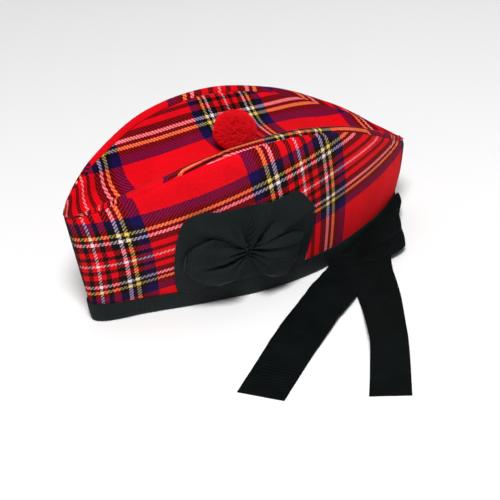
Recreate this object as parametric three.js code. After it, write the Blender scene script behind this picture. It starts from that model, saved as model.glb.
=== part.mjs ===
// Glengarry: a tartan cap with a sunk crown, a ribbon binding round its lower
// edge, a cockade on the wearer's left, a wool toorie, and a ribbon bow at the
// back with two loose tails. Millimetres, +Z up, front toward -X, the wearer's
// left toward -Y, standing on its binding at z = 0. Each piece is worked out with
// the hat's middle plane at y = 0, and the whole is centred at the end.
import * as THREE from 'three';

const GAP = 0.3;              // clearance between pieces that touch
const BINDING_GAP = 0.45;     // the same, either side of the cloth in the binding

// Main form
const RIM_LENGTH = 270;       // lower edge, front seam to back seam
const RIDGE_LENGTH = 300;     // upper edge, front tip to back tip
const RIDGE_SHIFT = 3.6;      // upper edge set back from the lower one
const CLOTH = 2.0;            // two layers of wool cloth
const CLOTH_LEAST = 1.0;      // where the layers are pulled tight into the tips
const RIBBON = 1.0;           // grosgrain ribbon
const BINDING_HEIGHT = 17.5;  // half of the ribbon that is folded over the edge
const WALL_FOOT = RIBBON + 2 * GAP;

// At even steps from the front seam to the back seam: half width of the rim and
// of the ridge, height of the ridge, depth of the dip in the crown, swell of the
// wall, and where each crown seam runs on the section.
const STATIONS = [
  { rim: 0.0, ridge: 0.0, height: 95.0, dip: 0, swell: 0, seamNear: 4.5, seamFar: 4.5 },
  { rim: 9.0, ridge: 18.8, height: 101.5, dip: 13, swell: 2, seamNear: 4.6, seamFar: 4.9 },
  { rim: 17.0, ridge: 38.8, height: 116.5, dip: 30, swell: 4, seamNear: 4.7, seamFar: 5.6 },
  { rim: 32.0, ridge: 54.0, height: 131.0, dip: 36, swell: 5, seamNear: 4.6, seamFar: 5.7 },
  { rim: 44.3, ridge: 58.4, height: 134.0, dip: 30, swell: 5, seamNear: 4.3, seamFar: 5.7 },
  { rim: 42.0, ridge: 51.2, height: 121.0, dip: 24, swell: 4, seamNear: 4.1, seamFar: 5.7 },
  { rim: 26.0, ridge: 35.2, height: 97.0, dip: 18, swell: 3, seamNear: 4.1, seamFar: 5.6 },
  { rim: 10.5, ridge: 16.0, height: 74.2, dip: 8, swell: 1, seamNear: 4.3, seamFar: 4.9 },
  { rim: 0.0, ridge: 0.0, height: 64.4, dip: 0, swell: 0, seamNear: 4.5, seamFar: 4.5 },
];
const LAST = STATIONS.length - 1;
const CHANGES_SIDE = ['rim', 'ridge'];   // widths run on through zero at a seam
const MIDDLE = 9;                        // section parameter at the crown's middle
const RIDGE_TURN = 4;                    // section parameter where the ridge begins
const ROLL = 14;                         // breadth of the roll along the ridge
const ROLL_SHARE = 0.45;                 // of the half width, where that is narrow

// The crown seam is a cut across the section, in section steps to each side:
// wider where the roll is narrow, and on the back of the cloth, inside the roll.
const CUT_FACE = 0.03;
const CUT_BACK = 0.11;
const CUT_MOST = 4;

// Toorie
const TOORIE_RADIUS = 18;
const TOORIE_HEIGHT = 33;
const TOORIE_X = 4;

// Cockade on the left wall. Each row is a place along the wall with the lower
// and the upper edge there.
const COCKADE_FOOT = BINDING_HEIGHT + 3 * GAP;
const COCKADE_BACKING = [
  { x: -81, low: 44, high: 62 },
  { x: -78, low: 26, high: 84 },
  { x: -73, low: COCKADE_FOOT, high: 91 },
  { x: -60, low: COCKADE_FOOT, high: 94 },
  { x: -45, low: COCKADE_FOOT, high: 89 },
  { x: -34, low: COCKADE_FOOT, high: 82 },
  { x: -18, low: COCKADE_FOOT, high: 85 },
  { x: 0, low: COCKADE_FOOT, high: 88 },
  { x: 14, low: COCKADE_FOOT, high: 88 },
  { x: 24, low: COCKADE_FOOT + 2, high: 80 },
  { x: 30, low: 34, high: 70 },
  { x: 32, low: 44, high: 60 },
];
// The two pinched loops over it, with how far each stands out.
const LOOP_FRONT = [
  { x: -69, low: 40, high: 62, puff: 5 },
  { x: -66, low: 36, high: 68, puff: 9 },
  { x: -56, low: 28, high: 69, puff: 11 },
  { x: -45, low: 23, high: 66, puff: 10 },
  { x: -34, low: 32, high: 59, puff: 7 },
  { x: -26, low: 43, high: 53, puff: 5 },
];
const LOOP_REAR = [
  { x: -24, low: 42, high: 53, puff: 5 },
  { x: -14, low: 28, high: 55, puff: 7 },
  { x: -2, low: 23, high: 55, puff: 10 },
  { x: 10, low: 24, high: 54, puff: 11 },
  { x: 19, low: 30, high: 52, puff: 9 },
  { x: 22, low: 36, high: 50, puff: 5 },
];
const COCKADE_BACK_OFF = GAP;                       // from wall to backing
const LOOP_OFF = COCKADE_BACK_OFF + RIBBON + GAP;   // from wall to loops

// Ribbon bow at the back seam, from the seam forward along the left side: where
// its inner edge lies on the hat, and its outer edge.
const BOW_THICK = 7;
const BOW_OFF = BINDING_GAP + RIBBON + 3 * GAP;   // from wall to the bow's inner edge
const BACK_BOW = [
  { at: 1.00, hatZ: 21, outX: 139, outY: -12, outZ: 14 },
  { at: 0.94, hatZ: 20, outX: 125, outY: -42, outZ: 10 },
  { at: 0.88, hatZ: 19, outX: 111, outY: -61, outZ: 7 },
  { at: 0.82, hatZ: 17, outX: 93, outY: -73, outZ: 7 },
  { at: 0.75, hatZ: 15, outX: 74, outY: -72, outZ: 7 },
  { at: 0.69, hatZ: 13, outX: 60, outY: -57, outZ: 6.8 },
];

// Loose tails, laid on the surface: middle line, height of the underside, width
// across, and the turn of that width from straight across the hat. Beside the bow
// each is gathered or spread; the ribbon itself is 38 wide.
const TAIL_LIFT = 0.1;
const TAIL_LEFT = [
  { x: 66, y: -64, z: 3.7, width: 36, turn: -12 },
  { x: 47, y: -74, z: 3.6, width: 44, turn: -24 },
  { x: 28, y: -84, z: 2.6, width: 45, turn: -30 },
  { x: 6, y: -98, z: 1.2, width: 40, turn: -34 },
  { x: -20, y: -116, z: 0.3, width: 38, turn: -35 },
  { x: -50, y: -138, z: 0.6, width: 37, turn: -36 },
  { x: -82, y: -162, z: TAIL_LIFT, width: 36, turn: -37 },
];
const TAIL_RIGHT = [
  { x: 80, y: -68, z: 2.4, width: 30, turn: -72 },
  { x: 66, y: -88, z: 2.0, width: 29, turn: -64 },
  { x: 50, y: -117, z: 1.0, width: 28, turn: -62 },
  { x: 36, y: -145, z: 0.8, width: 27, turn: -60 },
  { x: 24, y: -167, z: 0.8, width: 27, turn: -57 },
  { x: 9, y: -190, z: 0.4, width: 28, turn: -56 },
  { x: -8, y: -215, z: TAIL_LIFT, width: 29, turn: -56 },
];

// Facets
const WALL_STEPS = 44;
const WALL_ROWS = 11;
const CROWN_INSET = 4;         // wall steps from each tip to the end of the crown
const CROWN_STEPS = WALL_STEPS - 2 * CROWN_INSET;
const CROWN_START = CROWN_INSET / WALL_STEPS;
const CROWN_ROWS = 12;
const BINDING_STEPS = 2 * WALL_STEPS;

const lerp = (a, b, k) => a + (b - a) * k;
const clamp = (v, lo, hi) => Math.min(Math.max(v, lo), hi);

function cubic(a, b, c, d, u) {
  return b + 0.5 * u * (c - a + u * (2 * a - 5 * b + 4 * c - d + u * (3 * (b - c) + d - a)));
}

// A named column of the main table at fraction f of the hat's length.
function along(name, f) {
  const k = Math.min(Math.floor(f * LAST), LAST - 1);
  const sign = CHANGES_SIDE.includes(name) ? -1 : 1;
  const at = (i) => (i < 0 ? sign * STATIONS[-i][name]
    : i > LAST ? sign * STATIONS[2 * LAST - i][name] : STATIONS[i][name]);
  return cubic(at(k - 1), at(k), at(k + 1), at(k + 2), f * LAST - k);
}

// A named column of a small table whose rows are spaced by the key column.
function rowAt(rows, key, value, name) {
  let k = 0;
  while (k < rows.length - 2 && rows[k + 1][key] < value) k += 1;
  const u = clamp((value - rows[k][key]) / (rows[k + 1][key] - rows[k][key]), 0, 1);
  return lerp(rows[k][name], rows[k + 1][name], u);
}

// A named column of a table whose rows are evenly spaced, smoothed.
function stepAt(rows, f, name) {
  const last = rows.length - 1;
  const k = Math.min(Math.floor(f * last), last - 1);
  const at = (i) => (i < 0 ? 2 * rows[0][name] - rows[1][name]
    : i > last ? 2 * rows[last][name] - rows[last - 1][name] : rows[i][name]);
  return cubic(at(k - 1), at(k), at(k + 1), at(k + 2), f * last - k);
}

const rollAt = (f) => Math.min(ROLL, ROLL_SHARE * along('ridge', f));
const clothAt = (f) => clamp(0.2 * rollAt(f), CLOTH_LEAST, CLOTH);
const seamCut = (f, face) =>
  (face ? CUT_FACE : CUT_BACK) * Math.min(ROLL / rollAt(f), CUT_MOST);

// Guide points of half a cross-section, from the rim up the wall, over the
// ridge and down to the middle of the crown, as distance out and height.
function guides(f) {
  const rim = along('rim', f);
  const ridge = along('ridge', f);
  const height = along('height', f);
  const dip = along('dip', f);
  const swell = along('swell', f);
  const roll = rollAt(f);
  const rise = roll / ROLL;
  return {
    height,
    points: [
      { out: rim, up: 0 },
      { out: lerp(rim, ridge, 0.42) + 0.7 * swell, up: 0.30 * height },
      { out: lerp(rim, ridge, 0.85) + 1.2 * swell, up: 0.60 * height },
      { out: ridge + 0.8 * swell, up: 0.84 * height },
      { out: ridge + 0.2 * roll, up: height - 5 * rise },
      { out: ridge - 0.2 * roll, up: height + 1.3 * rise },
      { out: ridge - 0.78 * roll, up: height - 4 * rise },
      { out: 0.60 * ridge, up: height - 0.66 * dip },
      { out: 0.32 * ridge, up: height - 0.97 * dip },
      { out: 0, up: height - dip },
    ],
  };
}

// Outer surface. g runs 0..1 along the left side from front to back and 1..2
// back again along the right side; s runs from the rim to the crown's middle.
function surface(g, s) {
  const turn = ((g % 2) + 2) % 2;
  const f = turn > 1 ? 2 - turn : turn;
  const side = turn > 1 ? 1 : -1;
  const { height, points } = guides(f);
  const last = points.length - 1;
  const at = (i, name) => {
    if (i < 0) return 2 * points[0][name] - points[1][name];
    if (i > last) return (name === 'out' ? -1 : 1) * points[2 * last - i][name];
    return points[i][name];
  };
  const k = Math.min(Math.floor(s), last - 1);
  const u = s - k;
  const blend = [(1 - u) ** 3, 3 * u ** 3 - 6 * u ** 2 + 4,
    -3 * u ** 3 + 3 * u ** 2 + 3 * u + 1, u ** 3];
  const sum = (name) => blend.reduce((t, w, i) => t + w * at(k - 1 + i, name), 0) / 6;
  const up = sum('up');
  const share = Math.max(clamp(up / height, 0, 1), clamp(s - RIDGE_TURN, 0, 1));
  const run = Math.cos(Math.PI * f);
  const x = lerp(-RIM_LENGTH / 2 * run, RIDGE_SHIFT - RIDGE_LENGTH / 2 * run, share);
  return new THREE.Vector3(x, side * sum('out'), up);
}

function normal(g, s) {
  const e = 1e-3;
  const across = surface(g + e, s).sub(surface(g - e, s));
  const up = surface(g, Math.min(s + e, MIDDLE - 1e-9)).sub(surface(g, Math.max(s - e, 0)));
  return across.cross(up).normalize();
}

function offset(g, s, off) {
  return surface(g, s).addScaledVector(normal(g, s), off);
}

// Section parameter at a height on the wall.
function heightToSection(g, up) {
  let lo = 0;
  let hi = RIDGE_TURN;
  for (let i = 0; i < 30; i += 1) {
    const mid = (lo + hi) / 2;
    if (surface(g, mid).z < up) lo = mid; else hi = mid;
  }
  return (lo + hi) / 2;
}

// Place on the left wall at x and height, out by off.
function onWall(x, up, off) {
  let lo = 0;
  let hi = 1;
  for (let i = 0; i < 30; i += 1) {
    const mid = (lo + hi) / 2;
    if (surface(mid, heightToSection(mid, up)).x < x) lo = mid; else hi = mid;
  }
  return offset(lo, heightToSection(lo, up), off);
}

// Where a row of the wall meets the seam plane at one end.
function seamEnd(section, thick, end) {
  let inside = end === 0 ? 0.35 : 0.65;
  let seam = end;
  for (let i = 0; i < 30; i += 1) {
    const mid = (inside + seam) / 2;
    if (offset(mid, section(mid), thick(mid)).y > -GAP / 2) seam = mid; else inside = mid;
  }
  return inside;
}

// A box of facets whose every corner is moved by place(u, v, w), u, v, w in 0..1.
function moulded(uSteps, vSteps, wSteps, place) {
  const geometry = new THREE.BoxGeometry(1, 1, 1, uSteps, vSteps, wSteps);
  const at = geometry.attributes.position;
  for (let i = 0; i < at.count; i += 1) {
    const p = place(at.getX(i) + 0.5, at.getY(i) + 0.5, at.getZ(i) + 0.5);
    at.setXYZ(i, p.x, p.y, p.z);
  }
  return facingOut(geometry);
}

function facingOut(geometry) {
  const at = geometry.attributes.position;
  const index = geometry.index.array;
  const p = [0, 1, 2].map(() => new THREE.Vector3());
  let volume = 0;
  for (let i = 0; i < index.length; i += 3) {
    p.forEach((v, j) => v.fromBufferAttribute(at, index[i + j]));
    volume += p[0].dot(p[1].cross(p[2]));
  }
  if (volume < 0) {
    for (let i = 0; i < index.length; i += 3) {
      [index[i], index[i + 1]] = [index[i + 1], index[i]];
    }
  }
  geometry.computeVertexNormals();
  return geometry;
}

const hat = new THREE.Group();
function add(name, geometry, material) {
  const mesh = new THREE.Mesh(geometry, material);
  mesh.name = name;
  hat.add(mesh);
}
const matt = (color, roughness) =>
  new THREE.MeshStandardMaterial({ color, roughness, metalness: 0 });

const tartanLeft = matt(0xd01428, 0.95);
const tartanRight = matt(0xcc1226, 0.95);
const tartanCrown = matt(0xd81a2e, 0.95);
const ribbonBinding = matt(0x14181a, 0.75);
const ribbonCockade = matt(0x171b1d, 0.7);
const ribbonLoops = matt(0x1a1e20, 0.7);
const ribbonBow = matt(0x121618, 0.75);
const ribbonTails = matt(0x161a1c, 0.75);
const wool = matt(0xe01020, 1.0);

// Side panel: from inside the binding to the crown seam.
function sidePanel(side) {
  const seam = side < 0 ? 'seamNear' : 'seamFar';
  return moulded(WALL_STEPS, WALL_ROWS, 1, (u, v, w) => {
    const section = (f) => lerp(heightToSection(f, WALL_FOOT), along(seam, f) - seamCut(f, w > 0.5), v);
    const thick = (f) => (w > 0.5 ? 0 : -lerp(CLOTH, clothAt(f), v));
    const start = seamEnd(section, thick, 0);
    const stop = seamEnd(section, thick, 1);
    const f = lerp(start, stop, u);
    const p = offset(f, section(f), thick(f));
    p.y = Math.min(p.y, -GAP / 2);
    if (side > 0) p.y = -p.y;
    return p;
  });
}

// Crown: from seam to seam, short of the two tips.
function crown() {
  return moulded(CROWN_STEPS, CROWN_ROWS, 1, (u, v, w) => {
    const f = lerp(CROWN_START, 1 - CROWN_START, u);
    const q = 2 * v - 1;
    const seam = along(q < 0 ? 'seamNear' : 'seamFar', f) + seamCut(f, w > 0.5);
    const s = Math.min(MIDDLE - Math.abs(q) * (MIDDLE - seam), MIDDLE - 1e-6);
    return offset(q < 0 ? f : 2 - f, s, w > 0.5 ? 0 : -clothAt(f));
  });
}

// Binding: ribbon folded over the lower edge, one closed ring.
function binding() {
  const outer = BINDING_GAP + RIBBON;
  const inner = -CLOTH - BINDING_GAP;
  const profile = [
    { off: outer, up: 0 },
    { off: outer, up: BINDING_HEIGHT / 2 },
    { off: outer, up: BINDING_HEIGHT },
    { off: BINDING_GAP, up: BINDING_HEIGHT },
    { off: BINDING_GAP, up: BINDING_HEIGHT / 2 },
    { off: BINDING_GAP, up: RIBBON },
    { off: inner, up: RIBBON },
    { off: inner, up: BINDING_HEIGHT / 2 },
    { off: inner, up: BINDING_HEIGHT },
    { off: inner - RIBBON, up: BINDING_HEIGHT },
    { off: inner - RIBBON, up: 0 },
  ];
  const closed = [...profile, profile[0]].map((p) => new THREE.Vector2(10 + p.off, p.up));
  const geometry = new THREE.LatheGeometry(closed, BINDING_STEPS);
  const at = geometry.attributes.position;
  for (let i = 0; i < at.count; i += 1) {
    const step = Math.floor(i / closed.length) % BINDING_STEPS;
    const p = profile[(i % closed.length) % profile.length];
    const g = 2 * step / BINDING_STEPS;
    const q = offset(g, heightToSection(g, p.up), p.off);
    at.setXYZ(i, q.x, q.y, p.up);
  }
  return facingOut(geometry);
}

// Toorie: wool ball resting in the middle of the crown.
function toorie() {
  const geometry = new THREE.SphereGeometry(1, 22, 14);
  geometry.rotateX(Math.PI / 2);
  geometry.scale(TOORIE_RADIUS, TOORIE_RADIUS, TOORIE_HEIGHT / 2);
  const rest = surface(0.5, MIDDLE - 1e-6).z + TOORIE_HEIGHT / 2 + GAP;
  geometry.translate(TOORIE_X, 0, rest);
  return facingOut(geometry);
}

function cockadeBacking() {
  const rows = COCKADE_BACKING;
  return moulded(22, 6, 1, (u, v, w) => {
    const x = lerp(rows[0].x, rows[rows.length - 1].x, 0.5 - 0.5 * Math.cos(Math.PI * u));
    const up = lerp(rowAt(rows, 'x', x, 'low'), rowAt(rows, 'x', x, 'high'), v);
    return onWall(x, up, COCKADE_BACK_OFF + (w > 0.5 ? RIBBON : 0));
  });
}

function cockadeLoop(rows) {
  return moulded(12, 8, 1, (u, v, w) => {
    const x = lerp(rows[0].x, rows[rows.length - 1].x, u);
    const up = lerp(rowAt(rows, 'x', x, 'low'), rowAt(rows, 'x', x, 'high'), v);
    const swell = Math.sqrt(1 - (2 * v - 1) ** 2 * 0.97);
    return onWall(x, up, LOOP_OFF + (w > 0.5 ? rowAt(rows, 'x', x, 'puff') * swell : 0));
  });
}

function backBow() {
  return moulded(12, 6, 1, (u, v, w) => {
    const at = (name) => stepAt(BACK_BOW, u, name);
    const hat = offset(at('at'), heightToSection(at('at'), at('hatZ')), BOW_OFF);
    const out = new THREE.Vector3(at('outX'), at('outY'), at('outZ'));
    const p = hat.lerp(out, v);
    const swell = BOW_THICK * (0.55 + 0.45 * Math.sin(Math.PI * v));
    p.z += w > 0.5 ? swell / 2 : -swell / 2;
    p.z = Math.max(p.z, TAIL_LIFT);
    return p;
  });
}

function tail(rows) {
  return moulded(18, 2, 1, (u, v, w) => {
    const at = (name) => stepAt(rows, u, name);
    const turn = THREE.MathUtils.degToRad(at('turn'));
    const across = (v - 0.5) * at('width');
    return new THREE.Vector3(
      at('x') + Math.sin(turn) * across,
      at('y') + Math.cos(turn) * across,
      Math.max(at('z'), TAIL_LIFT) + (w > 0.5 ? RIBBON : 0),
    );
  });
}

add('side_left', sidePanel(-1), tartanLeft);
add('side_right', sidePanel(1), tartanRight);
add('crown', crown(), tartanCrown);
add('binding', binding(), ribbonBinding);
add('toorie', toorie(), wool);
add('cockade_backing', cockadeBacking(), ribbonCockade);
add('cockade_loop_front', cockadeLoop(LOOP_FRONT), ribbonLoops);
add('cockade_loop_rear', cockadeLoop(LOOP_REAR), ribbonLoops);
add('back_bow', backBow(), ribbonBow);
add('tail_left', tail(TAIL_LEFT), ribbonTails);
add('tail_right', tail(TAIL_RIGHT), ribbonTails);

// The whole stands on z = 0 with its overall box centred on the origin.
const group = new THREE.Group();
const overall = new THREE.Box3().setFromObject(hat).getCenter(new THREE.Vector3());
hat.position.set(-overall.x, -overall.y, 0);
group.add(hat);

export default group;
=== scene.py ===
import math

import bmesh
import bpy
from mathutils import Matrix, Vector, noise


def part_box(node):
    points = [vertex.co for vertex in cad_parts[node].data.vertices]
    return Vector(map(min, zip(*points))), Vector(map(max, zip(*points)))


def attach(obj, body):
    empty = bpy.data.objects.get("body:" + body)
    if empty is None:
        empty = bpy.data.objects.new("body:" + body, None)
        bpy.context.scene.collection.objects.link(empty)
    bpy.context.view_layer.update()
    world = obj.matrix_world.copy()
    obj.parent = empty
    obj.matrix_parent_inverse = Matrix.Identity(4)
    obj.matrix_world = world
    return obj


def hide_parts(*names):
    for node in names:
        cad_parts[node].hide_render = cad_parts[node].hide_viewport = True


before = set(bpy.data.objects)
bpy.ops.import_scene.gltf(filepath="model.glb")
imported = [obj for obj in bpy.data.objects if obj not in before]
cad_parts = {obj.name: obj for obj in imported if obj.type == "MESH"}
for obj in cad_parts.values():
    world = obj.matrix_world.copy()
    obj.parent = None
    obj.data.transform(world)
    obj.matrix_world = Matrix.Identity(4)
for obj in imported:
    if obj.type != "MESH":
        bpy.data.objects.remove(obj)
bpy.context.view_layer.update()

MM = 0.001

# ---------------------------------------------------------------- sizes, in mm
RIM_LENGTH = 270.0       # lower edge, front seam to back seam
RIDGE_LENGTH = 300.0     # upper edge, front tip to back tip
RIDGE_SHIFT = 3.6        # upper edge set back from the lower one
CLOTH = 2.0              # two layers of wool cloth
RIBBON = 0.8             # grosgrain ribbon, folded or gathered
TAIL_RIBBON = 0.7        # one layer of it
BOW_RIBBON = 1.1         # and where it is bunched at the back
RIBBON_WIDTH = 38.0
WALL_FOOT = 1.8          # height of the cloth's lower edge, inside the binding
ROLL = 14.0              # breadth of the soft roll over the ridge
ROLL_SHARE = 0.45        # the most of the ridge's half width that the roll takes

# Along the hat, in even steps from front seam to back seam: half width of the rim
# and of the ridge, height of the ridge, dip of the crown, swell of the side, and
# where the crown seam runs on the section on the near and on the far side.
COLUMNS = ("rim", "ridge", "height", "dip", "swell", "seam_near", "seam_far")
STATIONS = [
    (0.0, 0.0, 95.0, 0, 0, 4.5, 4.5),
    (9.0, 18.8, 101.5, 13, 2, 4.6, 4.9),
    (17.0, 38.8, 116.5, 30, 4, 4.7, 5.6),
    (32.0, 54.0, 131.0, 36, 5, 4.6, 5.7),
    (44.3, 58.4, 134.0, 30, 5, 4.65, 5.7),
    (42.0, 51.2, 121.0, 24, 4, 4.6, 5.7),
    (26.0, 35.2, 97.0, 18, 3, 4.4, 5.6),
    (10.5, 16.0, 74.2, 8, 1, 4.3, 4.9),
    (0.0, 0.0, 65.4, 0, 0, 4.5, 4.5),
]
LAST = len(STATIONS) - 1
MIRRORED = ("rim", "ridge")

# Guide points of half a section, counted from 0 at the rim.
# Up the wall: share of the way from rim to ridge, of the swell, and of the height.
WALL_GUIDES = [(0, 0, 0), (0.42, 0.7, 0.30), (0.85, 1.2, 0.60), (1, 0.8, 0.84)]
# Over the ridge: share of the roll outwards, and mm up where the roll is whole.
ROLL_GUIDES = [(0.2, -5), (-0.2, 1.3), (-0.78, -4)]
# Down to the middle of the crown: share of the ridge's half width, and of the dip.
CROWN_GUIDES = [(0.60, 0.66), (0.32, 0.97), (0, 1)]
MIDDLE = 9.0             # the guide point at the middle of the crown
RIDGE_TURN = 4.0         # the one where the wall turns over the ridge
BACK_SWELL = 0.26        # the back seam bows out by this share of its slant
BACK_ONLY = 8            # power that keeps this bow to the back

# The frame's place for the hat's own origin.
near_box, far_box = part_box("side_left"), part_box("side_right")
HAT = Vector((
    (near_box[0].x + near_box[1].x) / 2 - RIDGE_SHIFT * MM,
    (near_box[1].y + far_box[0].y) / 2,
    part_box("binding")[0].z,
))


def lerp(a, b, k):
    return a + (b - a) * k


def clamp(v, low=0.0, high=1.0):
    return min(max(v, low), high)


def smooth(k):
    k = clamp(k)
    return k * k * (3 - 2 * k)


def cubic(a, b, c, d, u):
    """Smooth line through four even values, between the middle two."""
    return b + 0.5 * u * (c - a + u * (2 * a - 5 * b + 4 * c - d + u * (3 * (b - c) + d - a)))


def straight(rows, value):
    """A two-column table, straight between its rows."""
    k = 0
    while k < len(rows) - 2 and rows[k + 1][0] < value:
        k += 1
    (a, p), (b, q) = rows[k], rows[k + 1]
    return p + (q - p) * (value - a) / (b - a)


def rows_at(rows, value, col):
    """A column of a small table, spaced by its first column, smoothly between rows."""
    last = len(rows) - 1
    k = 0
    while k < last - 1 and rows[k + 1][0] < value:
        k += 1
    u = clamp((value - rows[k][0]) / (rows[k + 1][0] - rows[k][0]))
    before, after = rows[max(k - 1, 0)], rows[min(k + 2, last)]
    return cubic(before[col], rows[k][col], rows[k + 1][col], after[col], u)


def through(rows, t, closed=False):
    """All columns on a smooth line through evenly spaced rows, open or closed."""
    count = len(rows)
    spans = count if closed else count - 1
    k = min(int(t * spans), spans - 1)
    if closed:
        four = [rows[(k + i) % count] for i in (-1, 0, 1, 2)]
    else:
        four = [rows[clamp(k + i, 0, count - 1)] for i in (-1, 0, 1, 2)]
    return [cubic(*column, t * spans - k) for column in zip(*four)]


# ------------------------------------------------------------- the hat's surface
def along(name, f):
    """A column of the main table at fraction f of the hat's length. Past the seams
    the half widths turn negative, so that both sides meet there smoothly."""
    col = COLUMNS.index(name)
    sign = -1 if name in MIRRORED else 1
    k = min(int(f * LAST), LAST - 1)

    def at(i):
        if i < 0:
            return sign * STATIONS[-i][col]
        if i > LAST:
            return sign * STATIONS[2 * LAST - i][col]
        return STATIONS[i][col]

    return cubic(at(k - 1), at(k), at(k + 1), at(k + 2), f * LAST - k)


_guides = {}


def guides(f):
    """Guide points of half a section, from the rim over the ridge to the middle."""
    key = round(f, 6)
    if key not in _guides:
        rim, ridge, height, dip, swell = (along(n, f) for n in COLUMNS[:5])
        roll = min(ROLL, ROLL_SHARE * ridge)
        wall = [(lerp(rim, ridge, out) + bulge * swell, up * height)
                for out, bulge, up in WALL_GUIDES]
        top = [(ridge + out * roll, height + up * roll / ROLL) for out, up in ROLL_GUIDES]
        dish = [(out * ridge, height - deep * dip) for out, deep in CROWN_GUIDES]
        _guides[key] = (height, wall + top + dish)
    return _guides[key]


def surface(g, s):
    """Outer surface: g runs 0..1 along the left side and 1..2 back along the right."""
    turn = g % 2.0
    f, side = (2 - turn, 1) if turn > 1 else (turn, -1)
    height, points = guides(f)
    last = len(points) - 1
    k = min(int(s), last - 1)
    u = s - k
    weights = (
        (1 - u) ** 3,
        3 * u ** 3 - 6 * u ** 2 + 4,
        -3 * u ** 3 + 3 * u ** 2 + 3 * u + 1,
        u ** 3,
    )
    out = up = 0.0
    for i, weight in enumerate(weights, k - 1):
        if i < 0:
            a, b = 2 * points[0][0] - points[1][0], 2 * points[0][1] - points[1][1]
        elif i > last:
            a, b = -points[2 * last - i][0], points[2 * last - i][1]
        else:
            a, b = points[i]
        out += weight * a / 6
        up += weight * b / 6
    share = max(clamp(up / height), clamp(s - RIDGE_TURN))
    share += BACK_SWELL * math.sin(math.pi * share) * f ** BACK_ONLY
    run = math.cos(math.pi * f)
    x = lerp(-RIM_LENGTH / 2 * run, RIDGE_SHIFT - RIDGE_LENGTH / 2 * run, share)
    return Vector((x, side * out, up))


STEP = 1e-3              # step on the surface that slopes are taken over
SHORT = 1e-6             # how far short of the crown's middle line the surface is used


def normal(g, s):
    across = surface(g + STEP, s) - surface(g - STEP, s)
    up = surface(g, min(s + STEP, MIDDLE - SHORT)) - surface(g, max(s - STEP, 0))
    return across.cross(up).normalized()


def offset(g, s, off):
    return surface(g, s) + normal(g, s) * off


_sections = {}
HALVINGS = 22


def section_at(g, up):
    """Section parameter at a height on the wall."""
    key = (round(g, 6), round(up, 4))
    if key in _sections:
        return _sections[key]
    low, high = 0.0, RIDGE_TURN
    for _ in range(HALVINGS):
        middle = (low + high) / 2
        if surface(g, middle).z < up:
            low = middle
        else:
            high = middle
    _sections[key] = (low + high) / 2
    return _sections[key]


# ------------------------------------------------------------------ mesh helpers
def grid(place, columns, rows, closed=False):
    """A bmesh grid whose corners are moved by place(u, v), which gives the point and
    the cloth coordinates, both in mm: (point, (along, across))."""
    bm = bmesh.new()
    bmesh.ops.create_grid(bm, x_segments=columns, y_segments=rows, size=0.5)
    cloth = bm.loops.layers.uv.new("cloth")
    flat = {}
    for vert in bm.verts:
        point, flat[vert] = place(vert.co.x + 0.5, vert.co.y + 0.5)
        vert.co = HAT + point * MM
    for face in bm.faces:
        for loop in face.loops:
            loop[cloth].uv = flat[loop.vert]
    if closed:
        bmesh.ops.remove_doubles(bm, verts=bm.verts, dist=1e-6)
    return bm


def make_object(bm, name, material):
    """Turns a bmesh into an object at the origin."""
    for face in bm.faces:
        face.smooth = True
    mesh = bpy.data.meshes.new(name)
    bm.to_mesh(mesh)
    bm.free()
    mesh.materials.append(material)
    obj = bpy.data.objects.new(name, mesh)
    bpy.context.scene.collection.objects.link(obj)
    return obj


def thicken(obj, thickness, side=-1.0):
    """Makes a sheet a wall, in mm: side -1 puts it all inside, 0 half to each side."""
    wall = obj.modifiers.new("wall", "SOLIDIFY")
    wall.thickness = thickness * MM
    wall.offset = side
    return wall


TIP = 26.0               # the panels are narrow within this distance of the two tips
THIN = 0.15              # share of the cloth's thickness that is left at a tip
TIP_SMOOTHING = 4        # rounds of smoothing there


def from_tip(x, ends):
    """How far along from the nearer tip: 0 there, 1 where the panel has its width."""
    return smooth(min(abs(x - end) for end in ends) / (TIP * MM))


def cloth_panel(bm, name, material):
    """A panel with its thickness. Its narrow ends are smoothed and thinned, as cloth
    pressed in a seam is."""
    ends = (min(v.co.x for v in bm.verts), max(v.co.x for v in bm.verts))
    near = [v for v in bm.verts if from_tip(v.co.x, ends) < 1]
    for _ in range(TIP_SMOOTHING):
        bmesh.ops.smooth_vert(bm, verts=near, factor=0.5, use_axis_x=True, use_axis_y=True,
                              use_axis_z=True)
    obj = make_object(bm, name, material)
    wall = thicken(obj, CLOTH)
    full = obj.vertex_groups.new(name="full")
    for vert in obj.data.vertices:
        full.add([vert.index], lerp(THIN, 1, from_tip(vert.co.x, ends)), "REPLACE")
    wall.vertex_group = full.name
    return obj


def place_piece(obj, node):
    """Puts a finished piece on the cap in place of its frame node."""
    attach(obj, "root")
    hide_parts(node)
    return obj


def crumple(x, y, *layers):
    """Soft unevenness in mm. Each layer has a height, a length and a seed."""
    return sum(height * noise.noise(Vector((x / length, y / length, seed)))
               for height, length, seed in layers)


# --------------------------------------------------------------------- materials
def linear(code):
    """sRGB hex to linear colour."""
    values = [int(code[i:i + 2], 16) / 255 for i in (1, 3, 5)]
    return [v / 12.92 if v <= 0.04045 else ((v + 0.055) / 1.055) ** 2.4 for v in values] + [1.0]


def wire(tree, node, inputs):
    """Sets or links inputs. A node given as a value stands for its first output."""
    for key, value in inputs.items():
        if isinstance(value, bpy.types.Node):
            value = value.outputs[0]
        if isinstance(value, bpy.types.NodeSocket):
            tree.links.new(value, node.inputs[key])
        else:
            node.inputs[key].default_value = value


def add(tree, kind, settings=None, inputs=None):
    """Adds a node, with its settings and what its inputs are set or linked to."""
    made = tree.nodes.new(kind)
    for name, value in (settings or {}).items():
        setattr(made, name, value)
    wire(tree, made, inputs or {})
    return made


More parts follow.
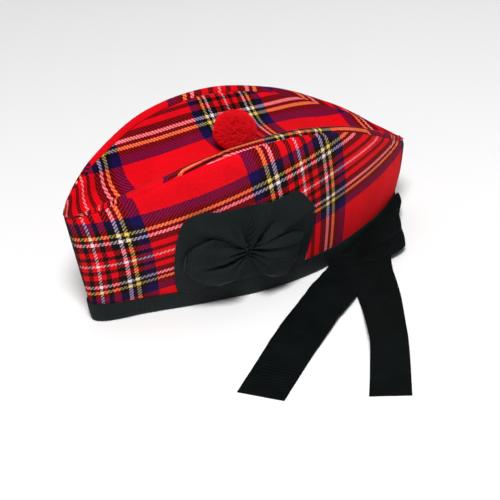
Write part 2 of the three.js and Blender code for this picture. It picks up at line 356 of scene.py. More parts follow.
def new_material(name):
    material = bpy.data.materials.new(name)
    material.use_nodes = True
    tree = material.node_tree
    return material, tree, tree.nodes["Principled BSDF"]


def per_metre(size):
    """Noise scale on Object coordinates for a pattern of this size in mm."""
    return 1 / (size * MM)


# Sockets of a Mix node for its two colours and for what comes out.
FIRST, SECOND, MIXED = 6, 7, 2

THREAD = 0.7764          # one thread of the tartan
HALF_SETT = 108          # threads from the middle of one pivot to the next
# Thread counts from the middle of the white pivot to the middle of the red field.
SETT = [
    ("white", 1.5), ("red", 5), ("black", 5), ("red", 7), ("black", 8), ("white", 4),
    ("black", 4), ("yellow", 4), ("black", 6), ("blue", 11), ("red", 52.5),
]
DYES = {
    "white": "#f6e6ec", "red": "#e60a24", "black": "#0d100e", "yellow": "#f0d67c",
    "blue": "#1c1666",
}
REPEAT = 4.0             # the weave repeats after four threads, counted from 0:
OVER = 1.5               # 0 and 1 go over, 2 and 3 under
FUZZ = 0.02              # share of a hidden thread that its fibres still show
SHOW_THROUGH = 0.62      # how much the thread beneath tints the one on top
WANDER = 0.7             # mm that threads stray from side to side
WANDER_SIZE = 2.857      # over this length of cloth
DYE_PATCH = 22.2         # patches where the dye was taken up unevenly
WOOL_FIBRE = 1.11        # tufts of loose fibre, coarser than they are so that they show
FIBRE_HEIGHT = 0.8       # of a fibre against the round of a thread


def dyed_thread(tree, number):
    """Colour of a thread by its number, the sett turning back at each pivot."""
    folded = add(tree, "ShaderNodeMath", {"operation": "PINGPONG"}, {0: number, 1: HALF_SETT})
    share = add(tree, "ShaderNodeMath", {"operation": "DIVIDE"}, {0: folded, 1: HALF_SETT})
    ramp = add(tree, "ShaderNodeValToRGB", None, {"Fac": share})
    band = ramp.color_ramp
    band.interpolation = "CONSTANT"
    while len(band.elements) > 1:
        band.elements.remove(band.elements[0])
    count = 0
    for i, (dye, threads) in enumerate(SETT):
        stop = band.elements[0] if i == 0 else band.elements.new(count / HALF_SETT)
        stop.position = count / HALF_SETT
        stop.color = linear(DYES[dye])
        count += threads
    return ramp


def side_by_side(tree, run):
    """Threads laid side by side: each one's number and dye, and its round, which is
    highest along its own middle."""
    place = add(tree, "ShaderNodeMath", {"operation": "DIVIDE"}, {0: run, 1: THREAD})
    place = add(tree, "ShaderNodeMath", {"operation": "ADD"}, {0: place, 1: 0.5})
    number = add(tree, "ShaderNodeMath", {"operation": "FLOOR"}, {0: place})
    rounded = add(tree, "ShaderNodeMath", {"operation": "PINGPONG"}, {0: place, 1: 0.5})
    return number, dyed_thread(tree, number), rounded


def tartan(name, lean):
    """Worsted tartan, woven two over two and slightly brushed: a soft matt cloth
    whose crossing stripes blend in fine diagonal lines. lean is the way these run."""
    material, tree, shader = new_material(name)
    uv = add(tree, "ShaderNodeUVMap", {"uv_map": "cloth"})
    stray = add(tree, "ShaderNodeTexNoise", {"noise_dimensions": "2D"},
                {"Vector": uv, "Scale": 1 / WANDER_SIZE, "Detail": 2.0})
    shift = add(tree, "ShaderNodeVectorMath", {"operation": "SUBTRACT"},
                {0: stray.outputs["Color"], 1: (0.5, 0.5, 0.5)})
    wavy = add(tree, "ShaderNodeVectorMath", {"operation": "MULTIPLY_ADD"},
               {0: shift, 1: (WANDER, WANDER, 0.0), 2: uv})
    split = add(tree, "ShaderNodeSeparateXYZ", None, {0: wavy})
    warp, warp_dye, warp_round = side_by_side(tree, split.outputs[0])
    weft, weft_dye, weft_round = side_by_side(tree, split.outputs[1])
    crossing = add(tree, "ShaderNodeMath", {"operation": "ADD" if lean < 0 else "SUBTRACT"},
                   {0: warp, 1: weft})
    step = add(tree, "ShaderNodeMath", {"operation": "FLOORED_MODULO"},
               {0: crossing, 1: REPEAT})
    on_top = add(tree, "ShaderNodeMath", {"operation": "LESS_THAN"}, {0: step, 1: OVER})
    # Loose fibres of each thread lie over its neighbours.
    softened = add(tree, "ShaderNodeMath", {"operation": "MULTIPLY_ADD"},
                   {0: on_top, 1: 1 - 2 * FUZZ, 2: FUZZ})
    cloth = add(tree, "ShaderNodeMix", {"data_type": "RGBA"},
                {"Factor": softened, FIRST: weft_dye, SECOND: warp_dye})
    under = add(tree, "ShaderNodeMix", {"data_type": "RGBA"},
                {"Factor": on_top, FIRST: warp_dye, SECOND: weft_dye})
    colour = add(tree, "ShaderNodeMix", {"data_type": "RGBA", "blend_type": "MULTIPLY"},
                 {"Factor": SHOW_THROUGH, FIRST: cloth.outputs[MIXED],
                  SECOND: under.outputs[MIXED]})

    # Dye taken up a little unevenly, and the loose fibres that blur each thread.
    at = add(tree, "ShaderNodeTexCoord").outputs["Object"]
    patch = add(tree, "ShaderNodeTexNoise", None,
                {"Vector": at, "Scale": per_metre(DYE_PATCH), "Detail": 3.0})
    fibre = add(tree, "ShaderNodeTexNoise", None,
                {"Vector": at, "Scale": per_metre(WOOL_FIBRE), "Detail": 2.0})
    tone = add(tree, "ShaderNodeMapRange", None,
               {"Value": patch, "From Min": 0.3, "From Max": 0.7, "To Min": 0.90,
                "To Max": 1.08})
    fleck = add(tree, "ShaderNodeMapRange", None,
                {"Value": fibre, "From Min": 0.25, "From Max": 0.75, "To Min": 0.84,
                 "To Max": 1.12})
    both = add(tree, "ShaderNodeMath", {"operation": "MULTIPLY"}, {0: tone, 1: fleck})
    shaded = add(tree, "ShaderNodeVectorMath", {"operation": "SCALE"},
                 {0: colour.outputs[MIXED], "Scale": both})

    ridge = add(tree, "ShaderNodeMix", {"data_type": "FLOAT"},
                {"Factor": on_top, "A": weft_round, "B": warp_round})
    nap = add(tree, "ShaderNodeMath", {"operation": "MULTIPLY"}, {0: fibre, 1: FIBRE_HEIGHT})
    height = add(tree, "ShaderNodeMath", {"operation": "ADD"}, {0: ridge, 1: nap})
    bump = add(tree, "ShaderNodeBump", None,
               {"Strength": 0.35, "Distance": 0.5 * MM, "Height": height})
    wire(tree, shader, {
        "Base Color": shaded, "Normal": bump, "Roughness": 0.95, "IOR": 1.45,
        "Specular IOR Level": 0.08, "Sheen Weight": 0.05, "Sheen Roughness": 0.6,
        "Sheen Tint": linear("#ff9a96"),
    })
    return material


RIB = 1.7                # rib to rib, as on a coarse grosgrain
RIB_PAINTED_HIGHLIGHT = 0.22         # painted highlight: how much more of the light tone a rib's top shows
LIGHT_SHARE = 0.3        # share of the light tone half way down it
RIBBON_WEAR = 16.7       # patches where handling has dulled the ribbon
RAYON_FIBRE = 0.714      # fibres of the warp
RAYON_HEIGHT = 0.7       # of a fibre against a rib


def grosgrain(name, base, light, shine):
    """Black rayon grosgrain: cross ribs over a dense warp give a dull, slightly
    greenish black, greyed in random patches of wear. Each rib's top carries a painted
    highlight, greyer as if the light raked over it."""
    material, tree, shader = new_material(name)
    uv = add(tree, "ShaderNodeUVMap", {"uv_map": "cloth"})
    split = add(tree, "ShaderNodeSeparateXYZ", None, {0: uv})
    turns = add(tree, "ShaderNodeMath", {"operation": "MULTIPLY"},
                {0: split, 1: 2 * math.pi / RIB})
    rib = add(tree, "ShaderNodeMath", {"operation": "SINE"}, {0: turns})
    at = add(tree, "ShaderNodeTexCoord").outputs["Object"]
    wear = add(tree, "ShaderNodeTexNoise", None,
               {"Vector": at, "Scale": per_metre(RIBBON_WEAR), "Detail": 4.0})
    fibre = add(tree, "ShaderNodeTexNoise", None,
                {"Vector": at, "Scale": per_metre(RAYON_FIBRE), "Detail": 2.0})
    # painted highlight on each rib's top, over a base share of the light tone; random wear scales both
    share = add(tree, "ShaderNodeMath", {"operation": "MULTIPLY_ADD"},
                {0: rib, 1: RIB_PAINTED_HIGHLIGHT, 2: LIGHT_SHARE})
    wear_and_rib_highlight = add(tree, "ShaderNodeMath", {"operation": "MULTIPLY"}, {0: share, 1: wear})
    colour = add(tree, "ShaderNodeMix", {"data_type": "RGBA"},
                 {"Factor": wear_and_rib_highlight, FIRST: linear(base), SECOND: linear(light)})
    rough = add(tree, "ShaderNodeMapRange", None,
                {"Value": wear, "From Min": 0.3, "From Max": 0.7, "To Min": 0.58,
                 "To Max": 0.74})
    grain = add(tree, "ShaderNodeMath", {"operation": "MULTIPLY"}, {0: fibre, 1: RAYON_HEIGHT})
    height = add(tree, "ShaderNodeMath", {"operation": "ADD"}, {0: rib, 1: grain})
    bump = add(tree, "ShaderNodeBump", None,
               {"Strength": 0.4, "Distance": 0.3 * MM, "Height": height})
    wire(tree, shader, {
        "Base Color": colour.outputs[MIXED], "Normal": bump, "Roughness": rough, "IOR": 1.5,
        "Specular IOR Level": shine, "Sheen Weight": shine / 5, "Sheen Roughness": 0.4,
    })
    return material


ROOTS, ENDS = 11.5, 16.5  # mm from the ball's middle where the painted shade on the strands is deepest and where it ends
TUFT = 2.38               # tufts of a few strands, with painted shade in patches between them


def pile_wool(name, centre, root, tip):
    """Cut wool yarn: saturated red and quite matt, with shade painted in: darker towards the roots and
    in patches between the tufts.
    """
    material, tree, shader = new_material(name)
    at = add(tree, "ShaderNodeTexCoord").outputs["Object"]
    depth = add(tree, "ShaderNodeVectorMath", {"operation": "DISTANCE"}, {0: at, 1: centre})
    out = add(tree, "ShaderNodeMapRange", None,
              {"Value": depth.outputs["Value"], "From Min": ROOTS * MM, "From Max": ENDS * MM})
    tuft = add(tree, "ShaderNodeTexNoise", None,
               {"Vector": at, "Scale": per_metre(TUFT), "Detail": 2.0})
    # painted shade: the darker root colour shows towards the roots and between the tufts
    share = add(tree, "ShaderNodeMath", {"operation": "MULTIPLY"}, {0: out, 1: tuft})
    colour = add(tree, "ShaderNodeMix", {"data_type": "RGBA"},
                 {"Factor": share, FIRST: linear(root), SECOND: linear(tip)})
    wire(tree, shader, {
        "Base Color": colour.outputs[MIXED], "Roughness": 1.0, "Specular IOR Level": 0.1,
        "Sheen Weight": 0.1, "Sheen Roughness": 0.5, "Sheen Tint": linear("#ff5a52"),
    })
    return material


# ------------------------------------------------------------------- cloth panels
SEAM_DIP = 1.3           # how far the cloth is drawn in at a seam
SEAM_REACH = 2.6         # and over what distance
PUCKER = 0.18            # height of the small gathers along a seam
PUCKER_RUN = 4.2         # their length along it
PUCKER_REACH = 6.76      # and how far out they reach
SEAM_SEED, END_SEED, SIDE_SEED, CROWN_SEED = 3.0, 7.0, 11.0, 23.0


def unevenness(p, seed, size, amount):
    """Soft swelling of hand-pressed cloth, in mm."""
    return amount * noise.noise(p / size + Vector((seed, 0, 0)))


def drawn_in(distance, run, seed):
    """How the cloth dips and puckers, by the distance from a seam and along it."""
    pucker = noise.noise(Vector((run / PUCKER_RUN, seed, 0.3)))
    dip = -SEAM_DIP * math.exp(-(distance / SEAM_REACH) ** 2)
    return dip + PUCKER * math.exp(-(distance / PUCKER_REACH) ** 2) * pucker


def run_tables(place, columns, rows):
    """Lengths over a patch of the surface: along it from its middle, and up it."""
    points = [[place(i / columns, j / rows) for j in range(rows + 1)]
              for i in range(columns + 1)]
    run = [[0.0] * (rows + 1) for _ in range(columns + 1)]
    rise = [[0.0] * (rows + 1) for _ in range(columns + 1)]
    for i in range(columns + 1):
        for j in range(rows + 1):
            if i:
                run[i][j] = run[i - 1][j] + (points[i][j] - points[i - 1][j]).length
            if j:
                rise[i][j] = rise[i][j - 1] + (points[i][j] - points[i][j - 1]).length
    middle = list(run[columns // 2])
    run = [[length - base for length, base in zip(row, middle)] for row in run]
    return run, rise


def look_up(table, u, v):
    n, m = len(table) - 1, len(table[0]) - 1
    a, b = clamp(u) * n, clamp(v) * m
    i, j = min(int(a), n - 1), min(int(b), m - 1)
    low = lerp(table[i][j], table[i + 1][j], a - i)
    high = lerp(table[i][j + 1], table[i + 1][j + 1], a - i)
    return lerp(low, high, b - j)


WALL_SPAN = 5.8          # section steps covered by the length tables of a side
side_run, side_rise = run_tables(lambda u, v: surface(u, v * WALL_SPAN), columns=160, rows=58)

# Where the tartan lies on a side, in mm of cloth: the panel is cut so that the stripes
# climb about one in five towards the back. Columns: power of the length along from the
# middle, power of the length up from the rim, mm of warp, mm of weft. Both lengths are
# taken in hundreds of mm.
SIDE_CUT = [
    (0, 0, 138.9, -91.8),
    (1, 0, 108.6, -21.7),
    (0, 1, 0.8, 110.0),
    (2, 0, 3.8, 2.0),
    (1, 1, -10.1, 5.6),
    (0, 2, 7.7, 1.0),
]
BACK_EASE = 24.0         # mm of cloth eased in towards the back seam
EASE_FROM, EASE_OVER = 1.1, 0.4    # hundreds of mm along where that is done


def side_cloth(f, s):
    a = look_up(side_run, f, s / WALL_SPAN) / 100
    c = look_up(side_rise, f, s / WALL_SPAN) / 100
    warp = sum(mm * a ** i * c ** j for i, j, mm, _ in SIDE_CUT)
    weft = sum(mm * a ** i * c ** j for i, j, _, mm in SIDE_CUT)
    return warp - BACK_EASE * clamp((a - EASE_FROM) / EASE_OVER) ** 2, weft


CROWN_EDGE = 4.0         # section step where the length tables of the crown begin


def crown_place(f, q):
    """Patch coordinates of the crown: q runs -1..1 from the near to the far edge."""
    s = min(MIDDLE - abs(q) * (MIDDLE - CROWN_EDGE), MIDDLE - SHORT)
    return (f if q < 0 else 2 - f), s


crown_run, crown_rise = run_tables(
    lambda u, v: surface(*crown_place(u, 2 * v - 1)), columns=160, rows=80)

# How the crown's cloth is eased in along the hat: place on it from the middle, and
# mm of cloth from the front pivot.
CROWN_EASE = [
    (-160.0, -27.5), (-89.0, 43.1), (-17.8, 124.6), (44.1, 210.8), (115.3, 292.3), (160.0, 333.0),
]
# What of the sett meets the near seam: place along the hat, and mm of cloth from the
# pivot. The red field runs from FIELD_START to FIELD_END.
NEAR_SEAM = [
    (-150.0, 66.0), (-104.0, 62.0), (-86.0, 46.0), (-79.0, 31.0), (-67.0, 24.5), (-37.0, 21.0),
    (0.0, 23.0), (60.0, 24.8), (95.0, 25.4), (128.0, 50.0), (155.0, 60.0),
]
FIELD_START, FIELD_END = 43.1, 124.6
# Where the red field ends on the far side: fraction of the hat's length, and mm from
# the crown's middle.
FAR_EDGE = [(0.0, 37), (0.25, 36), (0.4, 28), (0.55, 20.5), (0.68, 25), (0.8, 30), (1.0, 30)]
STRETCH = 1.15           # mm of cloth to a mm of the crown, outside the red field
# At the front the near edge is drawn towards the tip: by how much, and where that
# starts and over what distance it grows, forward along the hat and out from the middle.
NEAR_DRAW = 42.0
DRAW_AHEAD, DRAW_AHEAD_OVER = -30.0, 60.0
DRAW_OUTSIDE, DRAW_OUTSIDE_OVER = -15.0, 35.0
# The stripes across the crown lean: mm forward for a mm of width, counted from a line
# on the far side towards the near one, and the most width that counts.
ACROSS_LEAN, LEAN_FROM, LEAN_WIDTH = 0.15, 25.0, 70.0


def crown_cloth(f, q):
    """Where the tartan lies on the crown: the red field runs down the dip."""
    v = (q + 1) / 2
    a = look_up(crown_run, f, v)
    middle = look_up(crown_rise, f, 0.5)
    c = look_up(crown_rise, f, v) - middle
    drawn = NEAR_DRAW * smooth((DRAW_OUTSIDE - c) / DRAW_OUTSIDE_OVER)
    drawn *= smooth((DRAW_AHEAD - a) / DRAW_AHEAD_OVER)
    lean = ACROSS_LEAN * clamp(LEAN_FROM - c, 0, LEAN_WIDTH)
    across = straight(CROWN_EASE, a + drawn - lean)
    far_edge = rows_at(FAR_EDGE, f, 1)
    if c > far_edge:
        return across, FIELD_END + STRETCH * (c - far_edge)
    seam_q = (along("seam_near", f) - MIDDLE) / (MIDDLE - CROWN_EDGE)
    seam = look_up(crown_rise, f, (seam_q + 1) / 2) - middle
    at_seam = straight(NEAR_SEAM, surface(f, RIDGE_TURN).x)
    start = max(at_seam, FIELD_START)
    near_edge = seam + (start - at_seam) / STRETCH
    if c < near_edge:
        return across, at_seam + STRETCH * (c - seam)
    return across, lerp(start, FIELD_END, (c - near_edge) / (far_edge - near_edge))


CALM_TIP = 0.05          # the cloth is pulled smooth this near the tips
STEADY = (0.02, 0.98)    # the normal is taken no nearer the tips than this
SEAM_GAP = 0.012         # section steps that each panel stops short of the crown seam
SIDE_END = 0.004         # share of the length that a side stops short of a tip
CROWN_END = 0.02         # and the crown
HALF_GAP = 0.15          # mm that a side keeps from the middle plane
END_CLOSER = 1.2         # the end seams dip over less distance than the crown's


def side_panel(name, node, side, seam, material):
    def place(u, v):
        f = lerp(SIDE_END, 1 - SIDE_END, u)
        top = along(seam, f) - SEAM_GAP
        s = lerp(section_at(f, WALL_FOOT), top, v)
        p, n = surface(f, s), normal(clamp(f, *STEADY), s)
        from_seam = (p - surface(f, top)).length
        off = drawn_in(from_seam, p.x, SEAM_SEED + side)
        off += drawn_in(abs(p.y) * END_CLOSER, p.z, END_SEED)
        off += unevenness(p, SIDE_SEED + side, size=32.0, amount=0.35) * smooth(v * 3)
        off *= smooth(min(f, 1 - f) / CALM_TIP)
        p = p + n * off
        p.y = min(p.y, -HALF_GAP)
        if side > 0:
            p.y = -p.y
        return p, side_cloth(f, s)

    bm = grid(place, columns=240, rows=76)
    if side > 0:
        bmesh.ops.reverse_faces(bm, faces=bm.faces)
    return place_piece(cloth_panel(bm, name, material), node)


# The crown is fuller beside the near ridge: mm, section step and breadth in steps.
NEAR_FULLNESS, FULL_AT, FULL_BREADTH = 5.0, 6.5, 0.9


def crown_panel(name, node, material):
    def place(u, v):
        f = lerp(CROWN_END, 1 - CROWN_END, u)
        q = 2 * v - 1
        near = q < 0
        seam = along("seam_near" if near else "seam_far", f) + SEAM_GAP
        s = min(MIDDLE - abs(q) * (MIDDLE - seam), MIDDLE - SHORT)
        g = f if near else 2 - f
        p, n = surface(g, s), normal(g, s)
        from_seam = (p - surface(g, seam)).length
        off = drawn_in(from_seam, p.x, SEAM_SEED + (1 if q > 0 else -1))
        off += unevenness(p, CROWN_SEED, size=26.0, amount=0.8)
        if near:
            bulge = math.exp(-((s - FULL_AT) / FULL_BREADTH) ** 2)
            off += NEAR_FULLNESS * bulge * math.sin(math.pi * f)
        off *= smooth(min(f, 1 - f) / CALM_TIP)
        patch_q = math.copysign((MIDDLE - s) / (MIDDLE - CROWN_EDGE), q)
        return p + n * off, crown_cloth(f, patch_q)

    bm = grid(place, columns=240, rows=110)
    return place_piece(cloth_panel(bm, name, material), node)


# ------------------------------------------------------------------------ binding
# The folded ribbon's section, from its outer edge under the rim to its inner edge:
# mm out from the wall, and height.
BINDING = [
    (0.75, 17.5), (0.95, 16.2), (1.15, 13), (1.25, 9), (1.2, 5), (1.05, 2.6), (0.6, 1.0),
    (-0.3, 0.5), (-1.0, 0.45), (-1.8, 0.5), (-2.6, 1.0), (-2.95, 2.6), (-3.05, 5), (-3.05, 9),
    (-3.0, 13), (-2.9, 16.2), (-2.8, 17.5),
]
BINDING_RIPPLES = [(0.22, 16, 2.0), (0.12, 5, 9.0)]
FOLD_FOOT = 0.05         # the wall is measured from just over the rim


def binding_band(name, node, material):
    """Ribbon folded in half over the lower edge, one ring round the cap."""
    run = [0.0]
    for a, b in zip(BINDING, BINDING[1:]):
        run.append(run[-1] + math.dist(a, b))
    width = run[-1]
    rows = [(length / width, *point) for length, point in zip(run, BINDING)]

    def place(u, v):
        g = 2 * u
        off, up = rows_at(rows, v, 1), rows_at(rows, v, 2)
        s = section_at(g, max(up, FOLD_FOOT))
        base = surface(g, s)
        if off > 0:
            off += crumple(base.x, base.y, *BINDING_RIPPLES)
        p = base + normal(g, s) * off
        p.z = up
        f, side = (g, 1) if g <= 1 else (2 - g, -1)
        return p, (side * look_up(side_run, f, 0.0), width * v)

    bm = grid(place, columns=320, rows=32, closed=True)
    bmesh.ops.recalc_face_normals(bm, faces=bm.faces)
    obj = make_object(bm, name, material)
    thicken(obj, RIBBON, side=0)
    return place_piece(obj, node)


# ------------------------------------------------------------------------ cockade
HALF_LENGTH, SECTION_STEP = 142, 33     # rough sizes for a first guess
NEWTON_STEPS = 7


def wall_spot(x, up):
    """Surface parameters of the left wall at x and height, from a first guess on a
    plain boat shape and a few Newton steps."""
    f = clamp(math.acos(clamp(-x / HALF_LENGTH, -1, 1)) / math.pi, 0.02, 0.98)
    s = clamp(up / SECTION_STEP, 0.02, 3.9)
    for _ in range(NEWTON_STEPS):
        p = surface(f, s)
        along_f = (surface(f + STEP, s) - p) / STEP
        along_s = (surface(f, s + STEP) - p) / STEP
        det = along_f.x * along_s.z - along_s.x * along_f.z
        dx, dz = x - p.x, up - p.z
        f = clamp(f + (dx * along_s.z - dz * along_s.x) / det, 0.01, 0.99)
        s = clamp(s + (dz * along_f.x - dx * along_f.z) / det, 0.0, 4.5)
    return f, s


def on_wall(x, up, off):
    return offset(*wall_spot(x, up), off)


def fold(distance, breadth, height):
    """Height across a fold: rounded where it stands up, sharp where it dips."""
    t = abs(distance) / breadth
    return height * math.exp(-(t ** 2 if height > 0 else t ** 1.2))


def angle_apart(a, b):
    return (a - b + 180) % 360 - 180


PINCH = (-26.5, 51.0)    # where every fold of the cockade is gathered
# Outline of the ribbon behind the loops: place along the wall and up it, and how far
# it stands off there.
BACKING = [
    (-81, 53, 1.2), (-80, 72, 1.6), (-76, 87, 2.4), (-68, 93, 3.0), (-58, 94, 3.2), (-46, 91, 2.6),
    (-37, 89, 0.9), (-30, 89, 0.9), (-20, 89, 1.0), (-6, 88, 3.0), (8, 89, 2.6), (17, 88, 2.2),
    (25, 79, 2.6), (31, 70, 2.0), (32, 58, 1.4), (31, 42, 1.4), (27, 26, 1.3), (23, 17.9, 1.3),
    (0, 17.9, 1.3), (-25, 17.9, 1.3), (-50, 17.9, 1.3), (-74, 17.9, 1.3), (-79, 32, 1.2),
]
# Folds that run out from the pinch: direction and breadth in degrees, height (a
# valley is negative), and how far out they reach.
FOLDS = [
    (99, 8, -8.0, 1.2), (41, 4, -4.6, 0.5), (150, 7, -2.5, 0.9), (125, 15, 6.0, 1.0),
    (70, 13, 5.4, 1.0), (20, 9, 3.4, 0.95), (195, 18, 1.5, 0.6), (-60, 28, -2.4, 0.8),
    (-120, 25, -1.6, 0.8),
]
FOLD_ROUND = 0.7         # power that fills out a fold towards its two ends
GATHERED = 4.4           # how far the backing stands off the wall at the pinch
LEAST_OFF = 0.9          # and the nearest that it comes anywhere
SPREAD = 0.85            # power that keeps the grid from crowding at the pinch
BACKING_CRUMPLE = (0.5, 9, 4.0)    # height, length and seed, as for crumple
SLANT = math.radians(24)  # the ribbon's ribs run at this slant


def cockade_backing(name, node, material):
    def place(u, v):
        x, up, stand = through(BACKING, u % 1.0, closed=True)
        reach = v ** SPREAD
        px, pz = lerp(PINCH[0], x, reach), lerp(PINCH[1], up, reach)
        heading = math.degrees(math.atan2(up - PINCH[1], x - PINCH[0]))
        off = lerp(GATHERED, stand, smooth(v))
        for direction, breadth, height, far in FOLDS:
            risen = math.sin(math.pi * clamp(v / far) ** FOLD_ROUND)
            off += fold(angle_apart(heading, direction), breadth, height) * risen
        off += crumple(px, pz, BACKING_CRUMPLE)
        lay = (px * math.cos(SLANT) - pz * math.sin(SLANT),
               px * math.sin(SLANT) + pz * math.cos(SLANT))
        return on_wall(px, pz, max(off, LEAST_OFF)), lay

    obj = make_object(grid(place, columns=240, rows=40, closed=True), name, material)
    thicken(obj, RIBBON)
    return place_piece(obj, node)


# The outer fold of each loop, from its lower edge to its upper edge: place along
# the wall, height, and how far the loop stands out before it turns.
LOOP_FRONT = [
    (-50, 28, 14), (-61, 33, 13), (-73, 42, 11), (-75, 52, 9), (-73, 61, 7), (-66, 67, 5.5),
    (-54, 70, 4),
]
LOOP_REAR = [
    (-8, 23, 14), (3, 21, 13), (10, 28, 12), (15, 37, 11), (18, 45, 9), (20, 51, 6), (10, 55, 3.5),
]
# Folds along each loop: place across it, breadth, height, and how far out they reach.
CREASE_FRONT = [
    (0.37, 0.05, -4.8, 0.85), (0.16, 0.14, 2.2, 1.2), (0.62, 0.18, 3.2, 1.2), (0.97, 0.05, -2.0, 0.5),
]
CREASE_REAR = [
    (0.56, 0.05, -3.2, 0.5), (0.30, 0.05, -2.2, 0.36), (0.14, 0.12, 1.6, 1.1), (0.42, 0.10, 2.4, 1.1),
    (0.78, 0.14, 2.8, 1.1), (0.69, 0.04, -2.2, 0.6),
]
NECK = 7.0               # half of what each loop is gathered to at the pinch
NECK_APART = 1.2         # how far from the pinch each loop starts
RETURNED = 1.75          # out to the fold is 1, and the rest goes back under
LOOP_OFF = 5.0           # how far the upper layer stands off the wall at the pinch
LOOP_CLEAR = 1.0         # what it stands off more than the tables say
RISEN = 0.45             # share of its reach after which it has risen fully
SUNK = 0.25              # share of its height that it has lost at the outer fold
UNDER_OFF = 2.9          # how far the layer that goes back under stands off
TURN_OFF = 4.4           # where the two meet at the outer fold
TURN_FROM = 0.90         # share of the reach where they start to close
LOOP_LEAST = 2.6         # the nearest that a loop comes to the wall
CREASE_ROUND = 0.6       # power that fills out a crease towards its two ends
GATHERS, GATHER_HEIGHT = 9, 2.2    # small folds at the pinch
GATHER_FADE = 1.5        # power with which they die out along the loop
LOOP_CRUMPLE, LOOP_CRUMPLE_SIZE, LOOP_SEED = 0.35, 5, 8.0


def cockade_loop(name, node, rows, creases, material):
    """Ribbon gathered at the pinch, brought out, folded at its end and back under."""
    side = -1 if rows[0][0] < PINCH[0] else 1

    def place(u, v):
        x, up, stand = through(rows, v)
        neck = (PINCH[0] + side * NECK_APART, PINCH[1] + NECK * (2 * v - 1))
        over = u * RETURNED
        reach = over if over < 1 else 2 - over
        if over < 1:
            rise = smooth(reach / RISEN) * (1 - SUNK * smooth(2 * reach - 1))
            off = lerp(LOOP_OFF, stand + LOOP_CLEAR, rise)
            for spot, breadth, height, far in creases:
                risen = math.sin(math.pi * clamp(reach / far) ** CREASE_ROUND)
                off += fold(v - spot, breadth, height) * risen
            off += (1 - reach) ** GATHER_FADE * GATHER_HEIGHT * math.sin(GATHERS * math.pi * v)
        else:
            off = UNDER_OFF
        turned = smooth((reach - TURN_FROM) / (1 - TURN_FROM))
        off = lerp(off, TURN_OFF, turned ** 2)
        off += crumple(x * reach, up, (LOOP_CRUMPLE, LOOP_CRUMPLE_SIZE, LOOP_SEED + side))
        point = on_wall(lerp(neck[0], x, reach), lerp(neck[1], up, reach), max(off, LOOP_LEAST))
        return point, (over * math.dist(neck, (x, up)), v * RIBBON_WIDTH)

    bm = grid(place, columns=72, rows=72)
    if side < 0:
        bmesh.ops.reverse_faces(bm, faces=bm.faces)
    obj = make_object(bm, name, material)
    thicken(obj, RIBBON)
    return place_piece(obj, node)


# ----------------------------------------------------------------------- back bow
# From the front end of the bow to the back seam: fraction of the hat's length, height
# of the inner edge on it, and where the outer edge lies.
BOW = [
    (0.665, 9, 60, -50, 5), (0.73, 12, 72, -64, 5), (0.80, 16, 88, -67, 4), (0.87, 19, 111, -62, 6),
    (0.93, 20, 117, -42, 9), (0.982, 17, 127, -17, 12),
]
BOW_OFF = 1.9            # how far the inner edge stands off the wall, past the binding
PARTED = 0.74            # where along it the bow's upper lobe folds over the lower one
PARTING, PARTING_BREADTH = 8.0, 0.07    # how deep that fold is, and its share of the bow
NOTCH = 0.10             # share of its width that the bow loses there
# The crease beside the knot: its line and breadth as shares of the way out, how deep it
# is, and between which shares of the bow's length it runs.
KNOT_OUT, KNOT_BREADTH, KNOT_DEEP = 0.66, 0.06, 3.0
KNOT_FROM, KNOT_TO = 0.2, 0.66
PUFF = 5.0               # how far each lobe is puffed out
LOBE_ROUND, EDGE_ROUND = 0.7, 0.8       # powers that fill it out along and across
# The small gathers: height, closeness and slant.
BOW_GATHER, BOW_GATHERS, BOW_SLANT = 1.1, 24, 3.0
BOW_CRUMPLE = (0.9, 1, 1.0)
LIFT_INNER, LIFT_OUTER = 0.25, 1.2      # how much of the puff goes up, at each edge
BOW_FLOOR = 1.3          # the bow keeps this far off the floor
BOW_GAP = 0.2            # and this far from the middle plane
BOW_LAID = (78, 46)      # mm of ribbon along and across the bow


def back_bow(name, node, material):
    def place(u, v):
        at, hat_up, *outer_edge = through(BOW, u)
        at = min(at, 0.999)
        spot = (at, section_at(at, hat_up))
        parting = fold(u - PARTED, PARTING_BREADTH, -1.0) * smooth((v - 0.1) / 0.3)
        p = offset(*spot, BOW_OFF).lerp(Vector(outer_edge), v * (1 + NOTCH * parting))
        lobe = u / PARTED if u < PARTED else (u - PARTED) / (1 - PARTED)
        puff = PUFF * math.sin(math.pi * lobe) ** LOBE_ROUND
        puff *= math.sin(math.pi * clamp(v * 0.96)) ** EDGE_ROUND
        crease = fold(v - KNOT_OUT, KNOT_BREADTH, -KNOT_DEEP)
        crease *= smooth((u - KNOT_FROM) / 0.2) * smooth((KNOT_TO - u) / 0.1)
        gathers = BOW_GATHER * math.sin(u * BOW_GATHERS + v * BOW_SLANT)
        gathers *= math.sin(math.pi * clamp(v * 1.1))
        bulge = puff + PARTING * parting + crease + gathers
        bulge += crumple(u * 6, v * 5, BOW_CRUMPLE)
        lift = normal(*spot) + Vector((0, 0, lerp(LIFT_INNER, LIFT_OUTER, v)))
        p += lift.normalized() * bulge
        p.z = max(p.z, BOW_FLOOR)
        p.y = min(p.y, -BOW_GAP)
        return p, (u * BOW_LAID[0], v * BOW_LAID[1])

    obj = make_object(grid(place, columns=110, rows=56), name, material)
    thicken(obj, BOW_RIBBON)
    return place_piece(obj, node)


